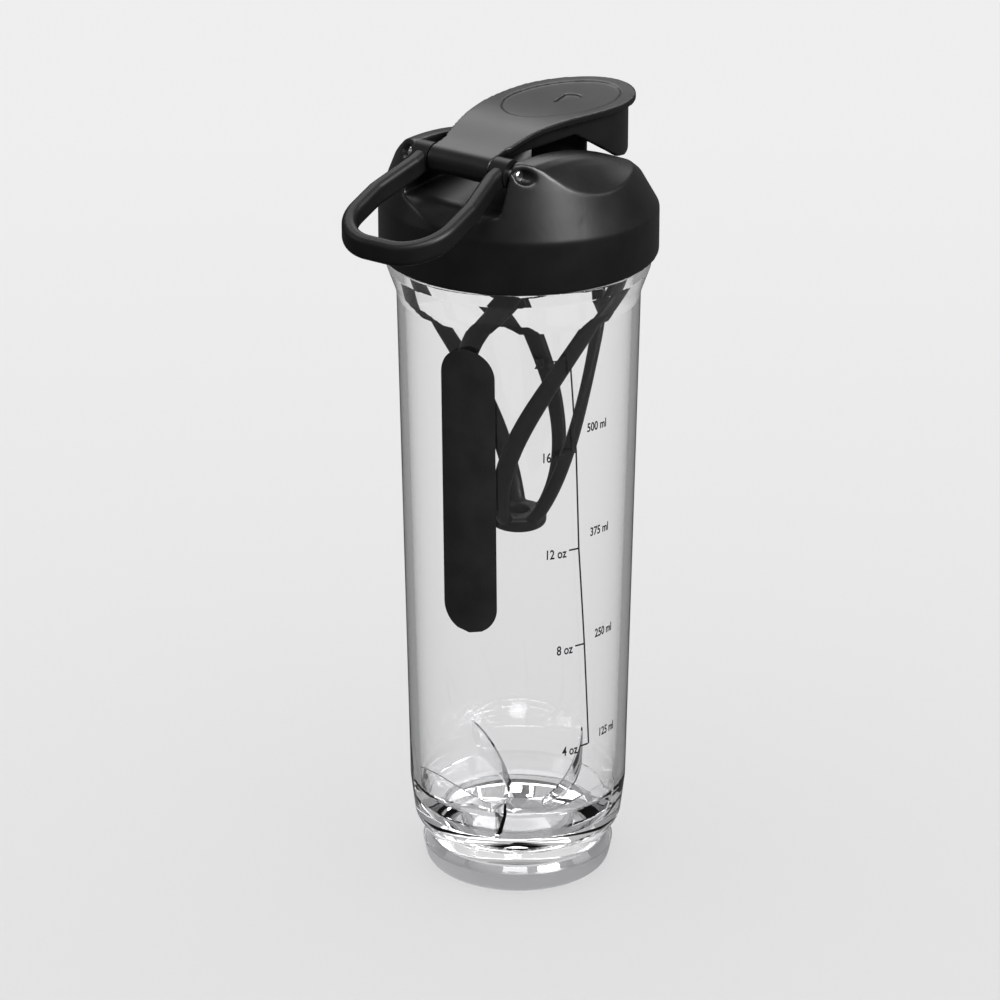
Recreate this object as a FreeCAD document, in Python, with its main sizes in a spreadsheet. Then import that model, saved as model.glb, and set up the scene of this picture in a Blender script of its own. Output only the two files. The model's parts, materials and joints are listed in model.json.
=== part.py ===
import FreeCAD, Part
import os
import Sketcher
from math import cos, pi, radians, sin, sqrt
from FreeCAD import Placement, Rotation, Vector

# Protein shaker bottle: clear screw-top bottle, black lid with a flip cap and a carry loop on one
# steel pin, and a five-arm mixing cage under the lid. Millimetres, +Z up, origin at the centre of
# the foot's underside. The spout and the cap's tip point to +X, the carry loop to -X, and the hinge
# pin lies along Y.

DOC = FreeCAD.newDocument("shaker_bottle")
SHEET = DOC.addObject("Spreadsheet::Sheet", "Sizes")

DRIVING = {
    # bottle, outside
    "foot_radius": 30.2,
    "foot_height": 6.8,
    "groove_radius": 27.9,
    "groove_level": 9.2,
    "heel_radius": 32.6,
    "heel_level": 16.5,
    "body_low_radius": 34.1,
    "body_low_level": 29.0,
    "body_top_radius": 37.3,
    "body_top_level": 193.5,
    "bead_radius": 40.3,
    "bead_low": 201.8,
    "bead_top": 205.6,
    "neck_radius": 37.4,
    "rim_level": 218.2,
    # bottle, inside
    "wall": 2.3,
    "floor_level": 15.0,
    "floor_thickness": 3.5,
    "mouth_radius": 35.0,
    "fin_count": 5,
    "fin_thickness": 1.6,
    # screw thread
    "thread_pitch": 4.0,
    "thread_turns": 1.5,
    "thread_depth": 1.3,
    "thread_play": 0.4,
    "thread_start": 207.5,
    # lid
    "lid_radius": 42.65,
    "skirt_low": 206.4,
    "skirt_top": 221.2,
    "skirt_tilt": 2.6,
    "ridge_radius": 37.4,
    "ridge_level": 233.2,
    "ridge_tilt": 8.5,
    "crest_radius": 34.6,
    "crest_level": 238.8,
    "crest_tilt": 15.64,
    "lid_wall": 2.2,
    "channel_half": 17.3,
    "channel_floor": 225.3,
    "shoulder_level": 230.8,
    # hinge
    "pin_back": 28.5,
    "pin_level": 241.2,
    "pin_radius": 1.75,
    "pin_half": 19.7,
    "pin_play": 0.05,
    "barrel_radius": 4.4,
    "barrel_half": 10.9,
    # cap
    "pad_centre": 26.0,
    "pad_half_length": 27.0,
    "pad_half_width": 18.1,
    "cap_thickness": 2.0,
    "cap_wall": 1.8,
    "cap_rim": 2.3,
    # spout
    "spout_forward": 22.0,
    "spout_radius": 8.5,
    "spout_bore": 6.5,
    "spout_top": 240.0,
    # carry loop
    "loop_reach": 44.5,
    "loop_half": 16.8,
    "loop_root": 13.9,
    "loop_width": 4.4,
    "loop_height": 7.0,
    "loop_corner": 13.0,
    # mixing cage
    "arm_count": 5,
    "ring_low": 207.6,
    "hub_level": 117.5,
    "hub_radius": 8.8,
    "hub_bore": 3.3,
    "hub_half": 2.4,
    # printing
    "ink": 0.15,
}


class Size:
    """A number that remembers the spreadsheet expression it came from."""

    def __init__(self, number, text):
        self.number = float(number)
        self.text = text

    @staticmethod
    def of(value):
        return value if isinstance(value, Size) else Size(value, repr(float(value)))

    def joined(self, other, number, sign, swap=False):
        first, second = (other, self) if swap else (self, other)
        return Size(number, "(%s %s %s)" % (first.text, sign, second.text))

    def __add__(self, other):
        other = Size.of(other)
        return self.joined(other, self.number + other.number, "+")

    def __radd__(self, other):
        return Size.of(other) + self

    def __sub__(self, other):
        other = Size.of(other)
        return self.joined(other, self.number - other.number, "-")

    def __rsub__(self, other):
        return Size.of(other) - self

    def __mul__(self, other):
        other = Size.of(other)
        return self.joined(other, self.number * other.number, "*")

    def __rmul__(self, other):
        return Size.of(other) * self

    def __truediv__(self, other):
        other = Size.of(other)
        return self.joined(other, self.number / other.number, "/")

    def __neg__(self):
        return Size(-self.number, "(0 - %s)" % self.text)

    def __float__(self):
        return self.number


class Sizes:
    """The driving dimensions as attributes, each bound to its spreadsheet cell."""

    def __init__(self, sheet, table):
        for row, (alias, value) in enumerate(table.items(), start=1):
            sheet.set("A%d" % row, alias)
            sheet.set("B%d" % row, str(value))
            sheet.setAlias("B%d" % row, alias)
            setattr(self, alias, Size(value, "Sizes.%s" % alias))
        DOC.recompute()


S = Sizes(SHEET, DRIVING)

# Safely outside the bottle and above the lid; cutting shapes reach this far.
BEYOND = 60.0
SKY = 280.0


# ---------------------------------------------------------------- helpers

def bind(thing, prop, value):
    """Set a property to a size, keeping its expression."""
    value = Size.of(value)
    thing.setExpression(prop, value.text)


def place(thing, x=0, y=0, z=0, axis=None, angle=0):
    """Place an object by sizes, turned by an angle about an axis."""
    for name, value in (("x", x), ("y", y), ("z", z)):
        if isinstance(value, Size):
            bind(thing, ".Placement.Base.%s" % name, value)
    rotation = Rotation(axis, float(angle)) if axis else Rotation()
    thing.Placement = Placement(Vector(float(x), float(y), float(z)), rotation)
    if isinstance(angle, Size):
        bind(thing, ".Placement.Rotation.Angle", angle)


def new_body(label):
    body = DOC.addObject("PartDesign::Body", label)
    body.Label = label
    return body


def new_sketch(body, name, role):
    """A sketch on one of the body's own origin planes."""
    sketch = body.newObject("Sketcher::SketchObject", name)
    planes = body.Origin.OriginFeatures
    plane = next(item for item in planes if item.Role == role)
    sketch.AttachmentSupport = [(plane, "")]
    sketch.MapMode = "FlatFace"
    return sketch


def pin_point(sketch, line, end, x, y):
    """Fix one end of a line at two sizes measured from the origin."""
    for kind, value, other_axis in (("DistanceX", x, -2), ("DistanceY", y, -1)):
        value = Size.of(value)
        if abs(value.number) < 1e-9:
            sketch.addConstraint(Sketcher.Constraint("PointOnObject", line, end, other_axis))
            continue
        index = sketch.addConstraint(Sketcher.Constraint(kind, -1, 1, line, end, value.number))
        sketch.setExpression("Constraints[%d]" % index, value.text)


def draw_polygon(sketch, corners):
    """A closed outline of straight lines with every corner fixed by sizes."""
    spots = [Vector(float(x), float(y), 0) for x, y in corners]
    count = len(spots)
    for i in range(count):
        sketch.addGeometry(Part.LineSegment(spots[i], spots[(i + 1) % count]), False)
    for i in range(count):
        sketch.addConstraint(Sketcher.Constraint("Coincident", i, 2, (i + 1) % count, 1))
    for i, (x, y) in enumerate(corners):
        pin_point(sketch, i, 1, x, y)


def revolved(body, name, corners):
    """Turn an outline in the XZ plane a full turn about Z."""
    sketch = new_sketch(body, name + "_outline", "XZ_Plane")
    draw_polygon(sketch, corners)
    turn = body.newObject("PartDesign::Revolution", name)
    turn.Profile = sketch
    turn.ReferenceAxis = (sketch, ["V_Axis"])
    turn.Angle = 360
    body.Tip = turn
    DOC.recompute()
    return turn


def circle_edges(shape, radius, level, slack=0.02):
    """Names of the horizontal circular edges of a radius at a level."""
    names = []
    for number, edge in enumerate(shape.Edges, start=1):
        curve = edge.Curve
        if not isinstance(curve, Part.Circle):
            continue
        if abs(curve.Radius - float(radius)) < slack and abs(curve.Center.z - float(level)) < slack:
            names.append("Edge%d" % number)
    return names


def rounded(body, name, spots, radius):
    """Fillet the circular edges at the given (radius, level) pairs."""
    base = body.Tip
    names = []
    for spot_radius, spot_level in spots:
        names += circle_edges(base.Shape, spot_radius, spot_level)
    fillet = body.newObject("PartDesign::Fillet", name)
    fillet.Base = (base, names)
    bind(fillet, "Radius", radius)
    body.Tip = fillet
    DOC.recompute()
    return fillet


def cylinder(name, radius, height, x=0, y=0, z=0, axis=None, angle=0):
    solid = DOC.addObject("Part::Cylinder", name)
    bind(solid, "Radius", radius)
    bind(solid, "Height", height)
    place(solid, x, y, z, axis, angle)
    return solid


def cross_rod(name, radius, half, x, z):
    """A cylinder along Y, centred on the XZ plane."""
    return cylinder(name, radius, 2 * half, x=x, y=half, z=z, axis=Vector(1, 0, 0), angle=90)


def box(name, length, width, height, x=0, y=0, z=0):
    solid = DOC.addObject("Part::Box", name)
    bind(solid, "Length", length)
    bind(solid, "Width", width)
    bind(solid, "Height", height)
    place(solid, x, y, z)
    return solid


def feature(name, shape):
    """A plain feature holding a shape made with Part's own functions."""
    item = DOC.addObject("Part::Feature", name)
    item.Shape = shape
    return item


def fuse(name, parts):
    item = DOC.addObject("Part::MultiFuse", name)
    item.Shapes = parts
    item.Refine = True
    return item


def common(name, parts):
    item = DOC.addObject("Part::MultiCommon", name)
    item.Shapes = parts
    return item


def cut(name, base, tool, refine=True):
    item = DOC.addObject("Part::Cut", name)
    item.Base = base
    item.Tool = tool
    item.Refine = refine
    return item


def spline_edge(points):
    curve = Part.BSplineCurve()
    curve.interpolate([Vector(*point) for point in points])
    return curve.toShape()


def extruded(edges, direction):
    """A solid made by extruding a closed outline."""
    wire = Part.Wire(Part.__sortEdges__(edges))
    return Part.Face(wire).extrude(direction)


# ---------------------------------------------------------------- thread

def thread_ridge(name, root_radius, crest_radius, start_level):
    """A right-hand trapezoid ridge round Z, standing from its root to its crest."""
    pitch = float(S.thread_pitch)
    root = float(root_radius)
    crest = float(crest_radius)
    bite = 0.3 if crest > root else -0.3
    foot_half = 0.8
    crest_half = 0.4
    outline = Part.makePolygon([
        Vector(root - bite, 0, -foot_half),
        Vector(crest, 0, -crest_half),
        Vector(crest, 0, crest_half),
        Vector(root - bite, 0, foot_half),
        Vector(root - bite, 0, -foot_half),
    ])
    helix = Part.makeHelix(pitch, pitch * float(S.thread_turns), root)
    ridge = Part.Wire(helix.Edges).makePipeShell([outline], True, True)
    ridge.translate(Vector(0, 0, float(start_level)))
    return feature(name, ridge)


# ---------------------------------------------------------------- bottle

def body_radius(level):
    """Outside radius of the tapered wall at a level, as a size."""
    slope = (S.body_top_radius - S.body_low_radius) / (S.body_top_level - S.body_low_level)
    return S.body_low_radius + slope * (level - S.body_low_level)


# Each station of a fin: radius, bend in degrees, rise of its root above the floor, height.
FIN_START = -29.0
FIN_STATIONS = ((9.0, 0.0, 0.0, 3.0), (16.0, 4.0, 1.8, 4.8), (23.0, 10.0, 3.2, 9.0),
                (32.0, 21.0, 6.8, 13.0))


def make_fin(number):
    """One curved mixing blade that stands on the floor and climbs the wall."""
    first = FIN_START + number * 360.0 / float(S.fin_count)
    half = float(S.fin_thickness) / 2
    top_half = half * 0.45
    sections = []
    for radius, bend, rise, tall in FIN_STATIONS:
        low = float(S.floor_level) - 1.0 + rise
        turn = radians(first + bend)
        spot = Vector(cos(turn), sin(turn), 0) * radius
        side = Vector(-sin(turn), cos(turn), 0)
        corners = [spot - side * half, spot + side * half, spot + side * top_half, spot - side * top_half]
        corners[0].z = corners[1].z = low
        corners[2].z = corners[3].z = low + tall
        sections.append(Part.makePolygon(corners + [corners[0]]))
    return Part.makeLoft(sections, True, False)


def make_bottle():
    shell = new_body("bottle_wall")
    inside_low = S.body_low_radius - S.wall - 0.6
    bowl = (S.foot_radius - 7.0, S.floor_level + 3.2)
    outline = [
        (0, S.floor_level - S.floor_thickness),
        (S.groove_radius - S.wall - 0.2, S.groove_level),
        (S.foot_radius - 4.7, 0),
        (S.foot_radius - 1.4, 0),
        (S.foot_radius, S.foot_height),
        (S.groove_radius, S.groove_level),
        (S.heel_radius, S.heel_level),
        (S.body_low_radius, S.body_low_level),
        (S.body_top_radius, S.body_top_level),
        (S.bead_radius, S.bead_low),
        (S.bead_radius, S.bead_top),
        (S.neck_radius, S.bead_top),
        (S.neck_radius, S.rim_level),
        (S.mouth_radius, S.rim_level),
        (S.body_top_radius - S.wall, S.body_top_level),
        (inside_low, S.body_low_level),
        (inside_low - 2.6, S.floor_level + 7.2),
        bowl,
        (8.7, S.floor_level),
        (0, S.floor_level),
    ]
    revolved(shell, "bottle_turn", outline)
    rounded(shell, "foot_round", [(S.foot_radius - 1.4, 0)], 2.6)
    rounded(shell, "heel_round", [(S.heel_radius, S.heel_level), (S.body_low_radius, S.body_low_level)], 6)
    rounded(shell, "foot_edge_round", [(S.foot_radius, S.foot_height)], 0.6)
    rounded(shell, "groove_round", [(S.groove_radius, S.groove_level)], 0.5)
    rounded(shell, "flare_round", [(S.body_top_radius, S.body_top_level)], 8)
    rounded(shell, "bead_round", [(S.bead_radius, S.bead_low), (S.bead_radius, S.bead_top)], 0.8)
    rounded(shell, "rim_round", [(S.neck_radius, S.rim_level), (S.mouth_radius, S.rim_level)], 0.7)
    rounded(shell, "bowl_round", [(inside_low, S.body_low_level), bowl], 5)
    ridge = thread_ridge("neck_thread", S.neck_radius, S.neck_radius + S.thread_depth, S.thread_start)
    fins = [feature("fin_%d" % number, make_fin(number)) for number in range(int(float(S.fin_count)))]
    return fuse("bottle_body", [shell, ridge] + fins)


# ---------------------------------------------------------------- printing

# Level of each tick of the volume scale and the turn about Z at which the leaning line passes it.
SCALE_MARKS = ((51.6, -106.6), (86.8, -110.7), (119.8, -115.1), (152.2, -117.5), (183.2, -121.5))
SCALE_HALF_LINE = 0.3
SCALE_TICK = 3.4
BAR_TURN = -171.0
BAR_HALF = 9.0
BAR_SPAN = (92.0, 186.0)
INK_GAP = 0.02


def ink_skin(name):
    """A thin tapered skin just outside the wall, which the printing is cut from."""
    low, high = S.body_low_level, S.body_top_level
    outer = DOC.addObject("Part::Cone", name + "_outer")
    inner = DOC.addObject("Part::Cone", name + "_inner")
    for cone, gap in ((outer, S.ink + INK_GAP), (inner, Size.of(INK_GAP))):
        bind(cone, "Radius1", body_radius(low) + gap)
        bind(cone, "Radius2", body_radius(high) + gap)
        bind(cone, "Height", high - low)
        place(cone, z=low)
    return cut(name, outer, inner)


def radial_prism(corners, turn):
    """A prism that runs outwards from the axis; corners are (along the girth, level)."""
    flat = [Vector(0, across, level) for across, level in corners]
    prism_solid = Part.Face(Part.makePolygon(flat + [flat[0]])).extrude(Vector(BEYOND, 0, 0))
    prism_solid.rotate(Vector(0, 0, 0), Vector(0, 0, 1), turn)
    return prism_solid


def make_scale_print():
    """The volume scale: one leaning line with a tick at every fourth ounce."""
    half = SCALE_HALF_LINE
    middle = SCALE_MARKS[2][1]
    pieces = []

    def across(turn, level):
        return float(body_radius(Size.of(level))) * sin(radians(turn - middle))

    for (low, low_turn), (high, high_turn) in zip(SCALE_MARKS, SCALE_MARKS[1:]):
        a, b = across(low_turn, low), across(high_turn, high)
        corners = [(a - half, low), (a + half, low), (b + half, high), (b - half, high)]
        pieces.append(radial_prism(corners, middle))
    for level, turn in SCALE_MARKS:
        a = across(turn, level)
        corners = [(a - SCALE_TICK, level - half), (a + half, level - half), (a + half, level + half),
                   (a - SCALE_TICK, level + half)]
        pieces.append(radial_prism(corners, middle))
    lines = pieces[0].multiFuse(pieces[1:]).removeSplitter()
    return common("scale_print", [ink_skin("scale_skin"), feature("scale_lines", lines)])


def make_side_print():
    """A plain upright bar with round ends."""
    half = BAR_HALF
    low, high = BAR_SPAN
    straight = [Part.LineSegment(Vector(0, half, low + half), Vector(0, half, high - half)),
                Part.LineSegment(Vector(0, -half, low + half), Vector(0, -half, high - half))]
    ends = [Part.Arc(Vector(0, half, high - half), Vector(0, 0, high), Vector(0, -half, high - half)),
            Part.Arc(Vector(0, half, low + half), Vector(0, 0, low), Vector(0, -half, low + half))]
    bar = extruded([item.toShape() for item in straight + ends], Vector(BEYOND, 0, 0))
    bar.rotate(Vector(0, 0, 0), Vector(0, 0, 1), BAR_TURN)
    return common("side_print", [ink_skin("side_skin"), feature("side_bar", bar)])


# ---------------------------------------------------------------- lid

SEAM_TURN = 75.0


def lid_loft(name, inset=0.0):
    """The faceted dome: circles that tilt more and more towards the front. Its core stops at the crest."""
    inset = float(inset)
    rings = [
        (float(S.lid_radius), float(S.skirt_low), 0.0),
        (float(S.lid_radius), float(S.skirt_top) - 0.3 * inset, float(S.skirt_tilt)),
        (float(S.ridge_radius), float(S.ridge_level) - 0.8 * inset, float(S.ridge_tilt)),
        (float(S.crest_radius), float(S.crest_level) - inset, float(S.crest_tilt)),
    ]
    if not inset:
        rings.append((float(S.crest_radius) - 1.8, float(S.crest_level) + 3.6, float(S.crest_tilt)))
    sections = []
    for radius, level, tilt in rings:
        loop = Part.makeCircle(radius - inset)
        loop.rotate(Vector(0, 0, 0), Vector(0, 0, 1), SEAM_TURN)
        loop.rotate(Vector(0, 0, 0), Vector(0, 1, 0), tilt)
        loop.translate(Vector(0, 0, level))
        sections.append(Part.Wire(loop))
    return feature(name, Part.makeLoft(sections, True, True))


# How far the tops of the ears fall away at each distance from the XZ plane.
EAR_FALL = ((0.0, 0.0), (17.3, 0.0), (20.0, 0.15), (22.5, 0.7), (25.0, 2.2), (28.0, 5.0), (32.0, 9.3),
            (36.0, 13.5), (60.0, 38.0))


def sky_section(across, fall):
    """Outline of the space above the lid at one distance from the XZ plane; the front falls least."""
    pin = Vector(-float(S.pin_back), across, float(S.pin_level) - fall)
    ear_back = pin + Vector(-3.3, 0, -0.4)
    ear_bend = pin + Vector(-1.7, 0, 2.6)
    ear_top = pin + Vector(2.5, 0, 3.7)
    crest_middle = Vector(-8.5, across, 242.8 - 0.65 * fall)
    crest_front = Vector(18.6, across, 234.6 - 0.2 * fall)
    spots = [ear_back, Vector(-BEYOND, across, ear_back.z), Vector(-BEYOND, across, SKY),
             Vector(BEYOND, across, SKY), Vector(BEYOND, across, float(S.skirt_low) + 10), crest_front]
    edges = [Part.LineSegment(a, b).toShape() for a, b in zip(spots, spots[1:])]
    edges.append(Part.Arc(crest_front, crest_middle, ear_top).toShape())
    edges.append(Part.Arc(ear_top, ear_bend, ear_back).toShape())
    return Part.Wire(edges)


def make_sky(name, lowered=0.0):
    """All that lies above the lid's bowed crest line and its rounded ears, lowered by a depth."""
    sides = [(-across, fall) for across, fall in reversed(EAR_FALL[1:])] + list(EAR_FALL)
    sky = Part.makeLoft([sky_section(across, fall) for across, fall in sides], True, True)
    sky.translate(Vector(0, 0, -float(lowered)))
    return feature(name, sky)


CHANNEL_RISE = 2.0


def make_channel():
    """The groove between the ears that the cap's arm and the loop sit in."""
    half = float(S.channel_half)
    floor = float(S.channel_floor)
    shelf = float(S.shoulder_level)
    behind = Vector(-43.2, 0, 221.6)
    shelf_back = Vector(-32.5, 0, shelf)
    front = floor + CHANNEL_RISE
    profile = ((-15, shelf), (-7, floor), (10, floor), (34, front), (BEYOND, front), (BEYOND, SKY),
               (-BEYOND, SKY), (-BEYOND, behind.z))
    spots = [shelf_back] + [Vector(x, 0, z) for x, z in profile] + [behind]
    edges = [Part.LineSegment(a, b).toShape() for a, b in zip(spots, spots[1:])]
    edges.append(Part.Arc(behind, Vector(-39.6, 0, 227.9), shelf_back).toShape())
    groove = extruded(edges, Vector(0, 2 * half, 0))
    groove.translate(Vector(0, -half, 0))
    return feature("lid_channel", groove)


def liner_outline(gap):
    """Outside corners of the liner from its deck down to its straight wall, pushed out by a gap."""
    top = S.channel_floor - S.lid_wall - 0.05 + gap
    outer = S.lid_radius - S.lid_wall - 0.05 + gap
    return [(0, top), (outer - 2.2, top), (outer - 1.2, top - 2.2), (outer, top - 6.2)]


def make_lid_shell():
    dome = lid_loft("lid_dome")
    deck = S.channel_floor - S.lid_wall
    room = new_body("liner_room")
    revolved(room, "room_turn", liner_outline(0.05) + [(S.lid_radius - S.lid_wall, S.skirt_low - 2),
                                                       (0, S.skirt_low - 2)])
    core_blocks = fuse("core_blocks", [
        box("core_left", 48, 30, 40, x=-20, y=S.channel_half + S.lid_wall, z=deck - 1),
        box("core_right", 48, 30, 40, x=-20, y=-S.channel_half - S.lid_wall - 30, z=deck - 1),
    ])
    core = cut("lid_core", common("core_sides", [lid_loft("core_dome", S.lid_wall), core_blocks]),
               make_sky("core_sky", S.lid_wall), refine=False)
    pin_bore = cross_rod("ear_bore", S.pin_radius + 0.02, 40, -S.pin_back, S.pin_level)
    mouth_left = cylinder("ear_mouth_left", S.pin_radius + 0.4, 20, x=-S.pin_back, y=S.pin_half + 20,
                          z=S.pin_level, axis=Vector(1, 0, 0), angle=90)
    mouth_right = cylinder("ear_mouth_right", S.pin_radius + 0.4, 20, x=-S.pin_back, y=-S.pin_half,
                           z=S.pin_level, axis=Vector(1, 0, 0), angle=90)
    spout_hole = cylinder("spout_hole", S.spout_radius + 0.1, 20, x=S.spout_forward, z=deck - 5)
    mouths = fuse("ear_mouths", [mouth_left, mouth_right, pin_bore])
    solid = dome
    for tool in (make_sky("lid_sky"), make_channel(), room, core, mouths):
        solid = cut(tool.Label + "_cut", solid, tool, refine=False)
    return cut("lid_shell", solid, spout_hole, refine=False)


def make_thread_liner():
    """Inner part of the lid: threaded wall, deck, spout and the ring that the cage snaps on."""
    outer = S.lid_radius - S.lid_wall - 0.05
    root = S.neck_radius + S.thread_depth + S.thread_play
    cup = S.neck_radius + 0.5
    deck_top = S.channel_floor - S.lid_wall - 0.05
    deck_low = deck_top - S.lid_wall
    boss_outer = S.mouth_radius - 3.3
    body = new_body("liner_wall")
    revolved(body, "liner_turn", liner_outline(0) + [
        (outer, S.skirt_low + 0.6), (root, S.skirt_low + 0.6), (root, S.rim_level - 1.3),
        (cup, S.rim_level - 0.6), (cup, deck_low), (boss_outer, deck_low), (boss_outer, deck_low - 6.5),
        (boss_outer - 1.4, deck_low - 6.5), (boss_outer - 1.4, deck_low), (0, deck_low),
    ])
    ridge = thread_ridge("lid_thread", root, root - S.thread_depth, S.thread_start + S.thread_pitch / 2)
    spout = cylinder("spout_tube", S.spout_radius, S.spout_top - deck_low, x=S.spout_forward, z=deck_low)
    bore = cylinder("spout_inside", S.spout_bore, S.spout_top - deck_low + 10, x=S.spout_forward,
                    z=deck_low - 2)
    return cut("thread_liner", fuse("liner_solid", [body, ridge, spout]), bore)


def make_gasket():
    deck_low = S.channel_floor - 2 * S.lid_wall - 0.05
    body = new_body("lid_gasket")
    outer = S.neck_radius + 0.4
    inner = S.mouth_radius - 0.2
    revolved(body, "gasket_turn", [(inner, S.rim_level + 0.02), (outer, S.rim_level + 0.02),
                                   (outer, deck_low - 0.02), (inner, deck_low - 0.02)])
    rounded(body, "gasket_round", [(outer, S.rim_level + 0.02), (inner, S.rim_level + 0.02)], 0.5)
    return body


def make_pin():
    pin = cross_rod("pin_rod", S.pin_radius, S.pin_half, -S.pin_back, S.pin_level)
    DOC.recompute()
    item = DOC.addObject("Part::Chamfer", "hinge_pin")
    item.Base = pin
    ends = [i for i, edge in enumerate(pin.Shape.Edges, start=1) if isinstance(edge.Curve, Part.Circle)]
    item.Edges = [(i, 0.3, 0.3) for i in ends]
    return item


# ---------------------------------------------------------------- cap

# The cap's top curve from the hinge to the tip: (x, z). The dish and the mark are sunk below it.
CAP_TOP = ((-28.5, 245.6), (-21.0, 246.7), (-12.0, 248.5), (-4.0, 249.1), (15.0, 248.1), (39.0, 246.1),
           (56.0, 245.3))
DISH_DEPTH = 0.5
DISH_HALF_LENGTH = 25.0
DISH_HALF_WIDTH = 14.2
MARK_DEPTH = 0.6


def cap_side(name, drop, lower):
    """Side view of the cap between its top curve, lowered by drop, and a lower outline."""
    top = [(x, 0, z - drop) for x, z in CAP_TOP]
    edges = [spline_edge(top)]
    spots = [Vector(*top[-1])] + [Vector(x, 0, z) for x, z in lower] + [Vector(*top[0])]
    edges += [Part.LineSegment(a, b).toShape() for a, b in zip(spots, spots[1:])]
    side = extruded(edges, Vector(0, 60, 0))
    side.translate(Vector(0, -30, 0))
    return feature(name, side)


def cap_plan(name, inset, start=-28.5):
    """Plan of the cap, pulled in by an inset: a narrow root that widens to an oval pad."""
    root = float(S.barrel_half) - inset
    half = float(S.pad_half_width) - inset
    length = float(S.pad_half_length) - inset
    centre = float(S.pad_centre)
    flank = [(-21.5, 11.6 - inset, 0), (-12, 13.2 - inset, 0), (-3, 14.8 - inset, 0), (6, 16.3 - inset, 0),
             (15, 17.5 - inset, 0), (centre, half, 0)]
    curve = Part.BSplineCurve()
    points = [Vector(*point) for point in flank]
    curve.interpolate(Points=points, InitialTangent=Vector(9, 1.6, 0), FinalTangent=Vector(9, 0, 0))
    left = curve.toShape()
    right = left.mirror(Vector(0, 0, 0), Vector(0, 1, 0))
    tip = Part.Arc(Part.Ellipse(Vector(centre, 0, 0), length, half), -pi / 2, pi / 2).toShape()
    neck = points[0]
    corners = [(neck.x, neck.y), (neck.x - 1.1, root), (start, root)]
    corners += [(x, -y) for x, y in reversed(corners)]
    spots = [Vector(x, y, 0) for x, y in corners]
    edges = [Part.LineSegment(a, b).toShape() for a, b in zip(spots, spots[1:])]
    plan = extruded([left, right, tip] + edges, Vector(0, 0, 60))
    plan.translate(Vector(0, 0, 210))
    return feature(name, plan)


def drop_plan(name):
    """Plan of the small water drop sunk into the cap's pad, its point towards the hinge."""
    radius = 2.7
    centre = Vector(29.0, 0, float(S.spout_top))
    point = Vector(18.5, 0, float(S.spout_top))
    lean = radians(105)
    left = centre + Vector(cos(lean), sin(lean), 0) * radius
    right = centre + Vector(cos(lean), -sin(lean), 0) * radius
    edges = [Part.LineSegment(point, right).toShape(),
             Part.Arc(right, centre + Vector(radius, 0, 0), left).toShape(),
             Part.LineSegment(left, point).toShape()]
    return feature(name, extruded(edges, Vector(0, 0, BEYOND)))


def above_cap(name, sunk):
    """All that lies above the cap's top curve once that is lowered by a depth."""
    return cap_side(name, sunk, [(CAP_TOP[-1][0], SKY), (CAP_TOP[0][0], SKY)])


def make_cap():
    thickness = float(S.cap_thickness)
    rim = float(S.cap_rim)
    wall = float(S.cap_wall)
    arm_low = 242.4
    wall_low = [(56, 227.8), (37, 227.8), (31, 229.3), (9, arm_low), (-28.5, arm_low)]
    plate_low = [(x, z - thickness) for x, z in reversed(CAP_TOP)]
    plate = common("cap_plate", [cap_side("cap_plate_side", 0, plate_low), cap_plan("cap_plate_plan", 0)])
    skirt = common("cap_skirt", [cap_side("cap_skirt_side", thickness / 2, wall_low),
                                 cap_plan("cap_skirt_plan", rim)])
    hollow = common("cap_hollow", [cap_side("cap_hollow_side", thickness, [(56, 210), (-24.5, 210)]),
                                   cap_plan("cap_hollow_plan", rim + wall, start=-24.5)])
    walls = cut("cap_walls", skirt, hollow)
    barrel = cross_rod("cap_barrel", S.barrel_radius, S.barrel_half, -S.pin_back, S.pin_level)
    boss = cylinder("cap_boss", 7.0, 5.0, x=S.spout_forward, z=S.spout_top + 2.2)
    solid = fuse("cap_solid", [plate, walls, barrel, boss])
    bore = cross_rod("cap_bore", S.pin_radius + S.pin_play, 30, -S.pin_back, S.pin_level)
    socket = cylinder("cap_socket", 2.5, 3.0, x=S.spout_forward, z=S.spout_top + 2.1)
    oval = Part.Ellipse(Vector(float(S.pad_centre) - 3, 0, arm_low), DISH_HALF_LENGTH, DISH_HALF_WIDTH)
    dish_plan = extruded([oval.toShape()], Vector(0, 0, BEYOND))
    dish = common("cap_dish", [above_cap("cap_dish_side", DISH_DEPTH), feature("cap_dish_plan", dish_plan)])
    mark = common("cap_mark", [above_cap("cap_mark_side", DISH_DEPTH + MARK_DEPTH), drop_plan("drop_plan")])
    return cut("flip_cap", solid, fuse("cap_tools", [bore, socket, dish, mark]))


def make_spout_seal():
    """Soft plug under the cap: a flange that lies on the spout and a stem in the cap's socket."""
    body = new_body("spout_seal")
    top = S.spout_top
    plug = S.spout_bore - 0.4
    revolved(body, "seal_turn", [
        (0, top - 3.2), (plug - 0.8, top - 3.2), (plug, top + 0.02), (S.spout_radius - 0.2, top + 0.02),
        (S.spout_radius - 0.2, top + 2.0), (2.4, top + 2.0), (2.4, top + 4.8), (0, top + 4.8),
    ])
    place(body, x=S.spout_forward)
    return body


# ---------------------------------------------------------------- carry loop

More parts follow.
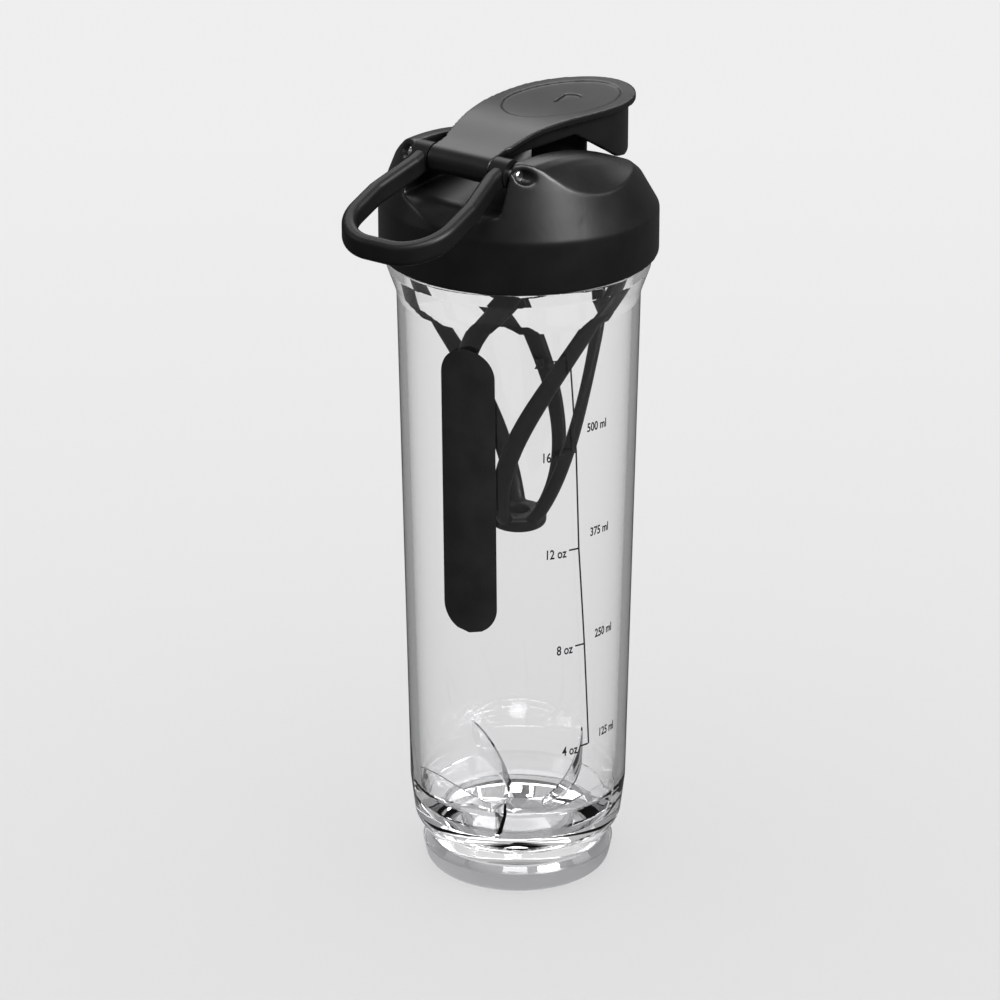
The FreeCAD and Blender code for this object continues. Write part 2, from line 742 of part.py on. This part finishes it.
def loop_plan(name, offset):
    """Plan of the loop's centre line pushed outwards by an offset, as a filled outline."""
    pin = -float(S.pin_back)
    root = float(S.loop_root) + offset
    half = float(S.loop_half) + offset
    corner = float(S.loop_corner) + offset
    end = pin - float(S.loop_reach) - offset
    knee = pin - 7.0
    wide = pin - 22.0
    turn = end + corner
    slant = corner * (1 - sqrt(0.5))
    left = [Vector(pin, root, 0), Vector(knee, root, 0), Vector(wide, half, 0), Vector(turn, half, 0)]
    edges = [Part.LineSegment(a, b).toShape() for a, b in zip(left, left[1:])]
    bend = Vector(end + slant, half - slant, 0)
    edges.append(Part.Arc(left[-1], bend, Vector(end, half - corner, 0)).toShape())
    mirrored = [edge.mirror(Vector(0, 0, 0), Vector(0, 1, 0)) for edge in edges]
    close = [Part.LineSegment(Vector(end, half - corner, 0), Vector(end, corner - half, 0)).toShape(),
             Part.LineSegment(Vector(pin, root, 0), Vector(pin, -root, 0)).toShape()]
    plan = extruded(edges + mirrored + close, Vector(0, 0, 60))
    plan.translate(Vector(0, 0, 200))
    return feature(name, plan)


# How far the loop drops per millimetre from the pin, and per millimetre squared.
LOOP_DROOP = 0.2575
LOOP_CURL = 0.001
LOOP_ROUND = 1.7


def loop_side():
    """Side view of the loop: a strip that droops away from the pin."""
    pin = -float(S.pin_back)
    level = float(S.pin_level)
    half = float(S.loop_height) / 2
    reach = float(S.loop_reach) + 6
    away = (0.0, 0.5 * reach, reach)
    spots = [(pin - far, level - LOOP_DROOP * far - LOOP_CURL * far ** 2) for far in away]
    upper = [Vector(x, 0, z + half) for x, z in spots]
    lower = [Vector(x, 0, z - half) for x, z in spots]
    edges = [Part.Arc(*upper).toShape(), Part.Arc(*lower).toShape(),
             Part.LineSegment(upper[0], lower[0]).toShape(), Part.LineSegment(upper[2], lower[2]).toShape()]
    strip = extruded(edges, Vector(0, 60, 0))
    strip.translate(Vector(0, -30, 0))
    return feature("loop_side", strip)


def make_loop():
    half_width = float(S.loop_width) / 2
    band = cut("loop_band_plan", loop_plan("loop_outer", half_width), loop_plan("loop_inner", -half_width))
    band = common("loop_band", [band, loop_side()])
    DOC.recompute()
    solid = band.Shape
    beside_pin = -float(S.pin_back) - 1
    long_edges = [edge for edge in solid.Edges if edge.BoundBox.XMin < beside_pin and edge.Length > 3.0]
    soft = feature("loop_soft", solid.makeFillet(LOOP_ROUND, long_edges))
    parts = [soft]
    for side, name in ((1, "left"), (-1, "right")):
        start = S.barrel_half + 5.7 if side > 0 else -S.barrel_half - 0.3
        parts.append(cylinder("eyelet_" + name, S.barrel_radius, 5.4, x=-S.pin_back, y=start, z=S.pin_level,
                              axis=Vector(1, 0, 0), angle=90))
    bore = cross_rod("loop_bore", S.pin_radius + S.pin_play, 30, -S.pin_back, S.pin_level)
    return cut("carry_loop", fuse("loop_solid", parts), bore)


# ---------------------------------------------------------------- mixing cage

# Each station of an arm's centre line: level, radius, turn about Z in degrees.
ARM_PATH = ((208.6, 32.8, 0.0), (199.0, 31.5, -12.0), (190.0, 29.4, -25.0), (170.0, 23.0, -49.0),
            (150.0, 18.6, -76.0), (130.0, 13.8, -97.0), (118.5, 7.4, -107.0))
ARM_HALF_WIDE = (3.4, 2.8)
ARM_HALF_THICK = 1.8


def make_arm(number):
    """One twisted arm: a flat oval swept from the ring to the hub, its flat side facing the axis."""
    first = number * 360.0 / float(S.arm_count)
    points = []
    for level, radius, turn in ARM_PATH:
        angle = radians(first + turn)
        points.append(Vector(radius * cos(angle), radius * sin(angle), level))
    curve = Part.BSplineCurve()
    curve.interpolate(points)
    axis = Part.LineSegment(Vector(0, 0, points[0].z + 3), Vector(0, 0, points[-1].z - 3))
    sweep = Part.BRepOffsetAPI.MakePipeShell(Part.Wire(curve.toShape()))
    sweep.setAuxiliarySpine(Part.Wire(axis.toShape()), False, 0)
    for spot_at, half_wide in zip((curve.FirstParameter, curve.LastParameter), ARM_HALF_WIDE):
        spot = curve.value(spot_at)
        along = curve.tangent(spot_at)[0]
        wide = along.cross(Vector(spot.x, spot.y, 0)).normalize()
        out = wide.cross(along).normalize()
        oval = Part.Ellipse(spot + wide * half_wide, spot + out * ARM_HALF_THICK, spot)
        sweep.add(Part.Wire(oval.toShape()))
    sweep.build()
    sweep.makeSolid()
    return sweep.shape()


def make_agitator():
    inner = S.mouth_radius - 3.2
    outer = S.mouth_radius - 0.6
    collar = inner + 1.4
    top = new_body("cage_ring")
    revolved(top, "cage_ring_turn", [
        (inner, S.ring_low), (outer, S.ring_low), (outer, S.ring_low + 4), (collar, S.ring_low + 5.5),
        (collar, S.ring_low + 12), (inner, S.ring_low + 12),
    ])
    hub_low = S.hub_level - S.hub_half
    hub_top = S.hub_level + S.hub_half
    hub = new_body("cage_hub")
    revolved(hub, "cage_hub_turn", [
        (S.hub_bore, hub_low), (S.hub_radius, hub_low), (S.hub_radius, hub_top), (S.hub_bore, hub_top),
    ])
    rounded(hub, "cage_hub_round", [(S.hub_radius, hub_low), (S.hub_radius, hub_top)], 1.6)
    arms = [feature("cage_arm_%d" % number, make_arm(number)) for number in range(int(float(S.arm_count)))]
    return fuse("agitator", [top, hub] + arms)


# ---------------------------------------------------------------- build and write

def check(item):
    """Stop on a failed object or an empty or invalid shape."""
    if any(word in item.State for word in ("Invalid", "Error")):
        raise RuntimeError("%s failed to recompute" % item.Label)
    shape = getattr(item, "Shape", None)
    if shape is None:
        return
    if shape.isNull() or not shape.isValid():
        raise RuntimeError("%s has no valid shape" % item.Label)


def main():
    pieces = [make_bottle(), make_scale_print(), make_side_print(), make_lid_shell(), make_thread_liner(),
              make_gasket(), make_pin(), make_cap(), make_spout_seal(), make_loop(), make_agitator()]
    DOC.recompute()
    for item in DOC.Objects:
        check(item)
    os.makedirs("parts", exist_ok=True)
    for piece in pieces:
        shape = piece.Shape
        print("%-14s solids %d volume %.0f" % (piece.Label, len(shape.Solids), shape.Volume), shape.BoundBox)
        shape.exportStep(os.path.join("parts", piece.Label + ".step"))


main()
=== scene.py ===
"""Looks of the shaker bottle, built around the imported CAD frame. Metres, +Z up, spout towards +X."""

import json
import math

import bpy
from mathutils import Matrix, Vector

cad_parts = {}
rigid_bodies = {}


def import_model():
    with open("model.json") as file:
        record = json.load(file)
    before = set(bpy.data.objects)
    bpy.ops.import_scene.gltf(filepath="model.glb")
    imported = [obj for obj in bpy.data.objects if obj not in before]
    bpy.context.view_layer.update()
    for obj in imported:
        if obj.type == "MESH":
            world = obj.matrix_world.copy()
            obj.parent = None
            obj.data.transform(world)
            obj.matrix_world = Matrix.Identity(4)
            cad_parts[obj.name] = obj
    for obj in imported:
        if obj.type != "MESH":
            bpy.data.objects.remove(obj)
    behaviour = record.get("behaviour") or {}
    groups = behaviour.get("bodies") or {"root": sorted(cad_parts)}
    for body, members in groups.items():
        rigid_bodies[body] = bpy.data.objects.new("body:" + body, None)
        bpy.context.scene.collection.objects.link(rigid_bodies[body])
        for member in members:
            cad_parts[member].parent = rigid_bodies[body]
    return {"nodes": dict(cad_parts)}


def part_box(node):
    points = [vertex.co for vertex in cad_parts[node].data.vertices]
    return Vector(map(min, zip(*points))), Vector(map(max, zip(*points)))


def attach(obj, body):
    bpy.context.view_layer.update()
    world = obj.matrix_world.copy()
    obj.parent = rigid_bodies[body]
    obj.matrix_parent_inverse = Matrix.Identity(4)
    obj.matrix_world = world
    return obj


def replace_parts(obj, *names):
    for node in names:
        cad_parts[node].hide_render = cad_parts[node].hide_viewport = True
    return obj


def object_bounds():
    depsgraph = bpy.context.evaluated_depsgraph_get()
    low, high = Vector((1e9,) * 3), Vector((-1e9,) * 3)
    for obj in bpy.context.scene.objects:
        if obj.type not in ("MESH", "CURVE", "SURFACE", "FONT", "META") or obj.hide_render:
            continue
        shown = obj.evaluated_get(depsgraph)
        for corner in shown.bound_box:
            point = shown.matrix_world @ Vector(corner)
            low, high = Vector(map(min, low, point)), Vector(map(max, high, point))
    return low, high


MM = 0.001

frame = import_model()
NODES = frame["nodes"]
cad_low, cad_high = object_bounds()


# ------------------------------------------------------------ sizes of the bottle's wall and printing

SCALE_LOW, SCALE_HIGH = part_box("scale_print")
BAR_LOW, BAR_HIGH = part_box("side_print")
WALL_LOW_LEVEL = 29.0 * MM
WALL_HIGH_LEVEL = 193.5 * MM
WALL_LOW_RADIUS = 34.1 * MM
WALL_HIGH_RADIUS = 37.3 * MM
FROST_TOP = 8.0 * MM
FROST_FADE = 1.5 * MM
PRINT_GAP = 0.03 * MM
PRINT_THICKNESS = 0.06 * MM


def wall_radius(level):
    """Outside radius of the bottle's tapered wall at a level."""
    share = (level - WALL_LOW_LEVEL) / (WALL_HIGH_LEVEL - WALL_LOW_LEVEL)
    return WALL_LOW_RADIUS + share * (WALL_HIGH_RADIUS - WALL_LOW_RADIUS)


# ------------------------------------------------------------ node helpers

# Share of the room's brightness lost by a ray's last mirror image, and by any mirror image before.
LAST_MIRROR_LOSS = 0.5
ANY_MIRROR_LOSS = 0.35
# Part of a texture's range over which its colour fades from dark to light.
RAMP_ENDS = (0.3, 0.7)


class Nodes:
    """The node tree of a material or the world, with short calls for adding and joining nodes."""

    def __init__(self, owner, output="ShaderNodeOutputMaterial"):
        self.owner = owner
        owner.use_nodes = True
        self.tree = owner.node_tree
        self.tree.nodes.clear()
        self.output = self.add(output)

    def add(self, kind, **inputs):
        """A new node; an underscore in a keyword stands for the space in the input's name."""
        node = self.tree.nodes.new(kind)
        for key, value in inputs.items():
            self.put(node, key.replace("_", " "), value)
        return node

    def put(self, node, key, value):
        """Sets or links a node's input, found by its name."""
        sockets = (item for item in node.inputs if item.name.lower() == key.lower() and item.enabled)
        self.feed(next(sockets), value)

    def feed(self, socket, value):
        """Links an input when the value is another node's output, and sets it otherwise."""
        if isinstance(value, bpy.types.NodeSocket):
            self.tree.links.new(value, socket)
        else:
            socket.default_value = value

    def math(self, operation, first, second):
        """One number worked out from two."""
        node = self.add("ShaderNodeMath")
        node.operation = operation
        self.feed(node.inputs[0], first)
        self.feed(node.inputs[1], second)
        return node.outputs["Value"]

    def dimmed(self):
        """How bright the room looks to a ray: full when seen straight, less in any mirror image."""
        path = self.add("ShaderNodeLightPath")
        last = self.math("MULTIPLY", path.outputs["Is Glossy Ray"], path.outputs["Is Reflection Ray"])
        earlier = self.math("MINIMUM", path.outputs["Glossy Depth"], 1.0)
        last_loss = self.math("MULTIPLY", last, LAST_MIRROR_LOSS)
        earlier_loss = self.math("MULTIPLY", earlier, ANY_MIRROR_LOSS)
        return self.math("SUBTRACT", 1.0, self.math("ADD", last_loss, earlier_loss))

    def noise(self, scale, detail, roughness=0.5):
        """Noise fixed to the object; the scale is per metre."""
        place = self.add("ShaderNodeTexCoord").outputs["Object"]
        return self.add("ShaderNodeTexNoise", Vector=place, Scale=scale, Detail=detail, Roughness=roughness)

    def spread(self, value, low, high, start=0.0, end=1.0):
        """Maps a value between start and end to a range."""
        node = self.add("ShaderNodeMapRange", Value=value)
        node.inputs["From Min"].default_value = start
        node.inputs["From Max"].default_value = end
        node.inputs["To Min"].default_value = low
        node.inputs["To Max"].default_value = high
        return node.outputs["Result"]

    def mix(self, share, first, second):
        """One shader fading into another."""
        node = self.add("ShaderNodeMixShader", Fac=share)
        self.tree.links.new(first.outputs[0], node.inputs[1])
        self.tree.links.new(second.outputs[0], node.inputs[2])
        return node

    def shade(self, value, dark, light):
        """Colours a texture value from dark to light over the middle of its range."""
        ramp = self.add("ShaderNodeValToRGB", Fac=value)
        for element, position, colour in zip(ramp.color_ramp.elements, RAMP_ENDS, (dark, light)):
            element.position = position
            element.color = (*colour, 1)
        return ramp.outputs["Color"]


CLOUD_SCALE = 90.0
GLOSS_CHANGE = 0.05
RIPPLE_SCALE = 55.0
RIPPLE_DEPTH = 0.02 * MM
FROST_ROUGHNESS = 0.3
FROST_CLOUD = 0.5
STREAK_ACROSS = 9000.0
STREAK_ALONG = 300.0
STEEL_ROUGHNESS = (0.2, 0.38)


def grained(name, dark, light, roughness, grain_size, grain_depth, specular):
    """Moulded plastic or rubber: fine pores, slow gloss and colour changes."""
    nodes = Nodes(bpy.data.materials.new(name))
    clouds = nodes.noise(CLOUD_SCALE, 3.0).outputs["Fac"]
    grain = nodes.noise(1.0 / grain_size, 2.0, 0.6).outputs["Fac"]
    bump = nodes.add("ShaderNodeBump", Height=grain, Distance=grain_depth, Strength=1.0)
    surface = nodes.add("ShaderNodeBsdfPrincipled")
    nodes.put(surface, "Base Color", nodes.shade(clouds, dark, light))
    gloss = nodes.spread(clouds, roughness - GLOSS_CHANGE, roughness + GLOSS_CHANGE)
    nodes.put(surface, "Roughness", gloss)
    nodes.put(surface, "Specular IOR Level", specular)
    nodes.put(surface, "Normal", bump.outputs["Normal"])
    nodes.put(nodes.output, "Surface", surface.outputs["BSDF"])
    return nodes.owner


def clear_plastic(name):
    """Clear moulded plastic with a frosted foot. Lamps and soft light pass straight through it."""
    nodes = Nodes(bpy.data.materials.new(name))
    ripple = nodes.noise(RIPPLE_SCALE, 1.0).outputs["Fac"]
    bump = nodes.add("ShaderNodeBump", Height=ripple, Distance=RIPPLE_DEPTH, Strength=0.5)
    place = nodes.add("ShaderNodeTexCoord").outputs["Object"]
    level = nodes.add("ShaderNodeSeparateXYZ", Vector=place).outputs["Z"]
    frost = nodes.spread(level, 1.0, 0.0, FROST_TOP - FROST_FADE, FROST_TOP)
    rough = nodes.spread(frost, 0.0, FROST_ROUGHNESS)
    glass = nodes.add("ShaderNodeBsdfGlass", Color=(0.998, 0.998, 1.0, 1), Roughness=rough, IOR=1.5)
    nodes.put(glass, "Normal", bump.outputs["Normal"])
    cloud = nodes.add("ShaderNodeBsdfTranslucent", Color=(0.28, 0.28, 0.285, 1))
    hazy = nodes.mix(nodes.spread(frost, 0.0, FROST_CLOUD), glass, cloud)
    path = nodes.add("ShaderNodeLightPath")
    soft = nodes.math("MAXIMUM", path.outputs["Is Shadow Ray"], path.outputs["Is Diffuse Ray"])
    through = nodes.add("ShaderNodeBsdfTransparent", Color=(0.95, 0.95, 0.955, 1))
    nodes.put(nodes.output, "Surface", nodes.mix(soft, hazy, through).outputs["Shader"])
    return nodes.owner


def drawn_steel(name):
    """Drawn wire: fine streaks along the pin, which lies along Y."""
    nodes = Nodes(bpy.data.materials.new(name))
    place = nodes.add("ShaderNodeTexCoord").outputs["Object"]
    stretch = nodes.add("ShaderNodeMapping", Vector=place)
    stretch.inputs["Scale"].default_value = (STREAK_ACROSS, STREAK_ALONG, STREAK_ACROSS)
    streaks = nodes.add("ShaderNodeTexNoise", Vector=stretch.outputs["Vector"], Scale=1.0, Detail=3.0)
    colour = nodes.shade(streaks.outputs["Fac"], (0.45, 0.45, 0.46), (0.7, 0.7, 0.72))
    surface = nodes.add("ShaderNodeBsdfPrincipled", Metallic=1.0)
    nodes.put(surface, "Base Color", colour)
    nodes.put(surface, "Roughness", nodes.spread(streaks.outputs["Fac"], *STEEL_ROUGHNESS))
    nodes.put(nodes.output, "Surface", surface.outputs["BSDF"])
    return nodes.owner


# For a grained material: dark and light tone, roughness, size and depth of the grain, specular level.
MATERIALS = {
    "clear": clear_plastic("clear_wall"),
    "lid": grained("lid_plastic", (0.002, 0.002, 0.0022), (0.0035, 0.0035, 0.0037),
                   0.36, 0.35 * MM, 0.01 * MM, 0.35),
    "liner": grained("liner_plastic", (0.003, 0.003, 0.0032), (0.005, 0.005, 0.0052),
                     0.45, 0.4 * MM, 0.01 * MM, 0.3),
    "seal": grained("seal_rubber", (0.02, 0.02, 0.021), (0.03, 0.03, 0.031),
                    0.6, 0.3 * MM, 0.02 * MM, 0.3),
    "loop": grained("loop_rubber", (0.0025, 0.0025, 0.0027), (0.004, 0.004, 0.0042),
                    0.42, 0.3 * MM, 0.012 * MM, 0.2),
    "cage": grained("cage_plastic", (0.0015, 0.0015, 0.0015), (0.0025, 0.0025, 0.0025),
                    0.4, 0.4 * MM, 0.008 * MM, 0.06),
    "ink": grained("print_ink", (0.006, 0.006, 0.006), (0.01, 0.01, 0.01),
                   0.5, 0.2 * MM, 0.004 * MM, 0.3),
    "steel": drawn_steel("pin_steel"),
}


def dress(obj, key):
    """Gives a piece its one material."""
    obj.data.materials.clear()
    obj.data.materials.append(MATERIALS[key])


# ------------------------------------------------------------ mesh helpers

def mesh_piece(name, verts, faces):
    """A new object in the scene, made from points and faces."""
    mesh = bpy.data.meshes.new(name)
    mesh.from_pydata(verts, [], faces)
    mesh.update()
    piece = bpy.data.objects.new(name, mesh)
    bpy.context.scene.collection.objects.link(piece)
    return piece


def soften(node, voxel, rounds):
    """Rounds a CAD node's hard edges: a fine remesh, then a few smoothing rounds."""
    modifiers = NODES[node].modifiers
    remesh = modifiers.new("fine_skin", "REMESH")
    remesh.mode = "VOXEL"
    remesh.voxel_size = voxel
    remesh.use_smooth_shade = True
    smooth = modifiers.new("soft_edges", "SMOOTH")
    smooth.factor = 0.5
    smooth.iterations = rounds


def on_wall(turn, level, lift):
    """A point over the bottle's wall at an angle and a level."""
    radius = wall_radius(level) + lift
    return Vector((radius * math.cos(turn), radius * math.sin(turn), level))


def rim_edges(faces):
    """Directed edges that only one face uses, in the order of the faces."""
    edges = {}
    for face in faces:
        for a, b in zip(face, face[1:] + face[:1]):
            edges[(a, b)] = True
    return [(a, b) for a, b in edges if (b, a) not in edges]


def wrapped(name, outline, faces, turn=0.0, level=0.0):
    """Wraps a flat drawing (x round the wall, y up) on the bottle as a thin solid print."""
    count = len(outline)
    verts = []
    for lift in (PRINT_GAP, PRINT_GAP + PRINT_THICKNESS):
        for x, y in outline:
            height = level + y
            verts.append(on_wall(turn + x / wall_radius(height), height, lift))
    skin = [tuple(reversed(face)) for face in faces]
    skin += [tuple(i + count for i in face) for face in faces]
    skin += [(a, b, b + count, a + count) for a, b in rim_edges(faces)]
    piece = mesh_piece(name, verts, skin)
    dress(piece, "ink")
    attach(piece, "bottle")
    return piece


# ------------------------------------------------------------ printing

# Level of each tick in millimetres, and the turn in degrees at which the leaning line passes it.
TICK_MARKS = ((51.6, -106.6), (86.8, -110.7), (119.8, -115.1), (152.2, -117.5), (183.2, -121.5))
TICKS = [(level * MM, math.radians(turn)) for level, turn in TICK_MARKS]
LINE = 0.55 * MM
CAD_HALF_LINE = 0.3 * MM
LINE_STEPS = 64
TICK_LENGTH = 3.1 * MM
TICK_STEPS = 4
LABEL_GAP = 4.3 * MM
OUNCE_TEXT = 4.4 * MM
LITRE_TEXT = 4.0 * MM
OUNCE_DROP = 0.8 * MM
LITRE_FIRST = 53.8 * MM
LITRE_STEP = 35.1 * MM
BOLD = 0.08 * MM
NARROW = 0.7


def scale_turn(level):
    """Angle of the scale's leaning line at a level."""
    for (low, first), (high, last) in zip(TICKS, TICKS[1:]):
        if level <= high:
            break
    return first + (last - first) * (level - low) / (high - low)


def grid_faces(rows, columns):
    """Faces of a grid of points laid row by row, counterclockwise."""
    faces = []
    for row in range(rows - 1):
        for column in range(columns - 1):
            corner = row * columns + column
            faces.append((corner, corner + 1, corner + columns + 1, corner + columns))
    return faces


def print_scale_lines():
    """The leaning line with a tick at every fourth ounce, as one printed piece."""
    verts, faces = [], []

    def strip(points, rows, columns):
        start = len(verts)
        verts.extend(points)
        faces.extend(tuple(start + i for i in face) for face in grid_faces(rows, columns))

    bottom = SCALE_LOW.z + CAD_HALF_LINE
    top = SCALE_HIGH.z - CAD_HALF_LINE
    levels = [bottom + (top - bottom) * i / LINE_STEPS for i in range(LINE_STEPS + 1)]
    line = []
    for level in levels:
        line += [(scale_turn(level) * wall_radius(level) + side * LINE / 2, level) for side in (-1, 1)]
    strip(line, len(levels), 2)
    for middle, turn in TICKS:
        across = turn * wall_radius(middle) - LINE / 2
        tick = []
        for edge in (-1, 1):
            for step in range(TICK_STEPS + 1):
                reach = TICK_LENGTH * (1 - step / TICK_STEPS)
                tick.append((across - reach, middle + edge * LINE / 2))
        strip(tick, 2, TICK_STEPS + 1)
    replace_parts(wrapped("scale_lines", verts, faces), "scale_print")


def print_label(name, text, level, side, height):
    """A short label at a level: side -1 ends left of the ticks, side 1 starts right of the line."""
    curve = bpy.data.curves.new(name, "FONT")
    curve.body = text
    curve.size = height
    curve.resolution_u = 4
    curve.offset = BOLD
    curve.align_x = "RIGHT" if side < 0 else "LEFT"
    curve.align_y = "CENTER"
    flat = bpy.data.objects.new(name + "_flat", curve)
    bpy.context.scene.collection.objects.link(flat)
    bpy.context.view_layer.update()
    mesh = bpy.data.meshes.new_from_object(flat)
    bpy.data.objects.remove(flat)
    points = [(v.co.x * NARROW + side * LABEL_GAP, v.co.y) for v in mesh.vertices]
    faces = [tuple(p.vertices) if p.normal.z > 0 else tuple(reversed(p.vertices)) for p in mesh.polygons]
    bpy.data.meshes.remove(mesh)
    wrapped(name, points, faces, scale_turn(level), level)


def print_labels():
    """Volumes: ounces to the left of each tick, millilitres to the right of the line."""
    for number, (level, _) in enumerate(TICKS):
        ounces = 4 * (number + 1)
        print_label(f"ounces_{ounces}", f"{ounces} oz", level - OUNCE_DROP, -1, OUNCE_TEXT)
    for number in range(4):
        volume = 125 * (number + 1)
        level = LITRE_FIRST + LITRE_STEP * number
        print_label(f"millilitres_{volume}", f"{volume} ml", level, 1, LITRE_TEXT)


BAR_HALF = 9.0 * MM
BAR_END = 0.02 * MM
BAR_ROWS = 97
BAR_COLUMNS = 15


def print_bar():
    """The plain upright bar with round ends, gridded so that it follows the wall."""
    middle = (BAR_LOW + BAR_HIGH) / 2
    turn = math.atan2(middle.y, middle.x)
    low, high = BAR_LOW.z, BAR_HIGH.z
    verts = []
    for row in range(BAR_ROWS):
        level = low + (high - low) * (row / (BAR_ROWS - 1))
        inward = max(low + BAR_HALF - level, level - (high - BAR_HALF), 0.0)
        width = math.sqrt(max(BAR_HALF ** 2 - inward ** 2, BAR_END ** 2))
        for column in range(BAR_COLUMNS):
            verts.append((width * (2 * column / (BAR_COLUMNS - 1) - 1), level))
    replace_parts(wrapped("side_bar", verts, grid_faces(BAR_ROWS, BAR_COLUMNS), turn), "side_print")


print_scale_lines()
print_labels()
print_bar()


# ------------------------------------------------------------ dressing the CAD nodes

DRESSING = {
    "bottle_body": "clear",
    "lid_shell": "lid",
    "flip_cap": "lid",
    "thread_liner": "liner",
    "lid_gasket": "seal",
    "spout_seal": "seal",
    "carry_loop": "loop",
    "agitator": "cage",
    "hinge_pin": "steel",
}

for node, material in DRESSING.items():
    dress(NODES[node], material)
soften("lid_shell", voxel=0.4 * MM, rounds=12)
soften("flip_cap", voxel=0.35 * MM, rounds=5)
soften("agitator", voxel=0.4 * MM, rounds=6)


# ------------------------------------------------------------ stage

CAMERA_BACK = 1.3893
CAMERA_HEIGHT = 0.7238
CAMERA_AZIMUTH = math.radians(56.0)
CAMERA_PITCH = 0.4085
CAMERA_YAW = -0.0041
LENS = 175.5
# Painted light: the floor's colour rises from the nearer distance to the farther one, away from the camera,
# standing in for the light falling off over the floor.
FLOOR_HALF = 12.0
FLOOR_GAP = 0.05 * MM
FLOOR_NEAR = -0.4
FLOOR_FAR = 0.7
FLOOR_PAINTED_LIGHT_TONES = (0.77, 0.86)
FLOOR_MIRRORED = (0.05, 0.05, 0.05, 1)
WALL_TONE = 0.81


def add_camera():
    """The camera stands back and up, and looks down at the bottle."""
    data = bpy.data.cameras.new("camera")
    data.lens = LENS
    data.clip_end = 50.0
    camera = bpy.data.objects.new("camera", data)
    x = -math.sin(CAMERA_AZIMUTH) * CAMERA_BACK
    y = -math.cos(CAMERA_AZIMUTH) * CAMERA_BACK
    camera.location = (x, y, CAMERA_HEIGHT)
    camera.rotation_euler = (math.pi / 2 - CAMERA_PITCH, 0, -CAMERA_AZIMUTH - CAMERA_YAW)
    bpy.context.scene.collection.objects.link(camera)
    bpy.context.scene.camera = camera


def add_floor():
    """A wide pale floor just under the bottle, with painted light making it lighter away from the camera,
    and darker in mirror images.
    """
    corners = [(x * FLOOR_HALF, y * FLOOR_HALF, 0) for x, y in ((-1, -1), (1, -1), (1, 1), (-1, 1))]
    floor = mesh_piece("floor", corners, [(0, 1, 2, 3)])
    floor.location.z = cad_low.z - FLOOR_GAP
    nodes = Nodes(bpy.data.materials.new("pale_floor"))
    place = nodes.add("ShaderNodeTexCoord").outputs["Object"]
    away = nodes.add("ShaderNodeVectorMath", Vector=place)
    away.operation = "DOT_PRODUCT"
    away.inputs[1].default_value = (math.sin(CAMERA_AZIMUTH), math.cos(CAMERA_AZIMUTH), 0)
    # Painted light fall-off: the floor's base colour grows lighter with distance away from the camera.
    tone = nodes.spread(away.outputs["Value"], *FLOOR_PAINTED_LIGHT_TONES, FLOOR_NEAR, FLOOR_FAR)
    surface = nodes.add("ShaderNodeBsdfDiffuse", Color=tone)
    dark = nodes.add("ShaderNodeBsdfDiffuse", Color=FLOOR_MIRRORED)
    nodes.put(nodes.output, "Surface", nodes.mix(nodes.dimmed(), dark, surface).outputs["Shader"])
    floor.data.materials.append(nodes.owner)
    return floor


def add_lamp(name, azimuth, elevation, distance, size, power):
    """A square soft box that looks at the middle of the bottle."""
    data = bpy.data.lights.new(name, "AREA")
    data.size = size
    data.energy = power
    lamp = bpy.data.objects.new(name, data)
    middle = (cad_low + cad_high) / 2
    a, e = math.radians(azimuth), math.radians(elevation)
    away = Vector((math.sin(a) * math.cos(e), -math.cos(a) * math.cos(e), math.sin(e)))
    lamp.location = middle + away * distance
    lamp.rotation_euler = (-away).to_track_quat("-Z", "Y").to_euler()
    lamp.visible_camera = False
    bpy.context.scene.collection.objects.link(lamp)
    return lamp


def add_world():
    """An even white room; mirror images show it darker, as black screens round the bottle would."""
    bpy.context.scene.world = bpy.data.worlds.new("studio")
    nodes = Nodes(bpy.context.scene.world, "ShaderNodeOutputWorld")
    path = nodes.add("ShaderNodeLightPath")
    shown = nodes.spread(path.outputs["Is Diffuse Ray"], WALL_TONE, 1.0)
    strength = nodes.math("MULTIPLY", nodes.dimmed(), shown)
    back = nodes.add("ShaderNodeBackground", Color=(1.0, 1.0, 1.0, 1), Strength=strength)
    nodes.put(nodes.output, "Surface", back.outputs["Background"])


def light_bottle_only(lamps, floor):
    """The lamps draw highlights on the bottle; the floor keeps the room's even light."""
    lit = bpy.data.collections.new("lit")
    for item in bpy.context.scene.objects:
        if item.type == "MESH" and item is not floor:
            lit.objects.link(item)
    for lamp in lamps:
        lamp.light_linking.receiver_collection = lit


add_camera()
floor = add_floor()
add_world()
# Azimuth and elevation in degrees, distance and size in metres, power in watts.
lamps = [
    add_lamp("back_light", 124, 45, 1.4, 1.0, 9.0),
    add_lamp("top_light", -60, 68, 1.2, 0.5, 10.0),
    add_lamp("front_light", -8, 42, 1.3, 0.6, 32.0),
    add_lamp("left_light", -150, 30, 1.5, 0.6, 2.0),
    add_lamp("right_light", 40, 35, 1.6, 0.5, 2.5),
]
light_bottle_only(lamps, floor)

bpy.context.scene.view_settings.view_transform = "Standard"
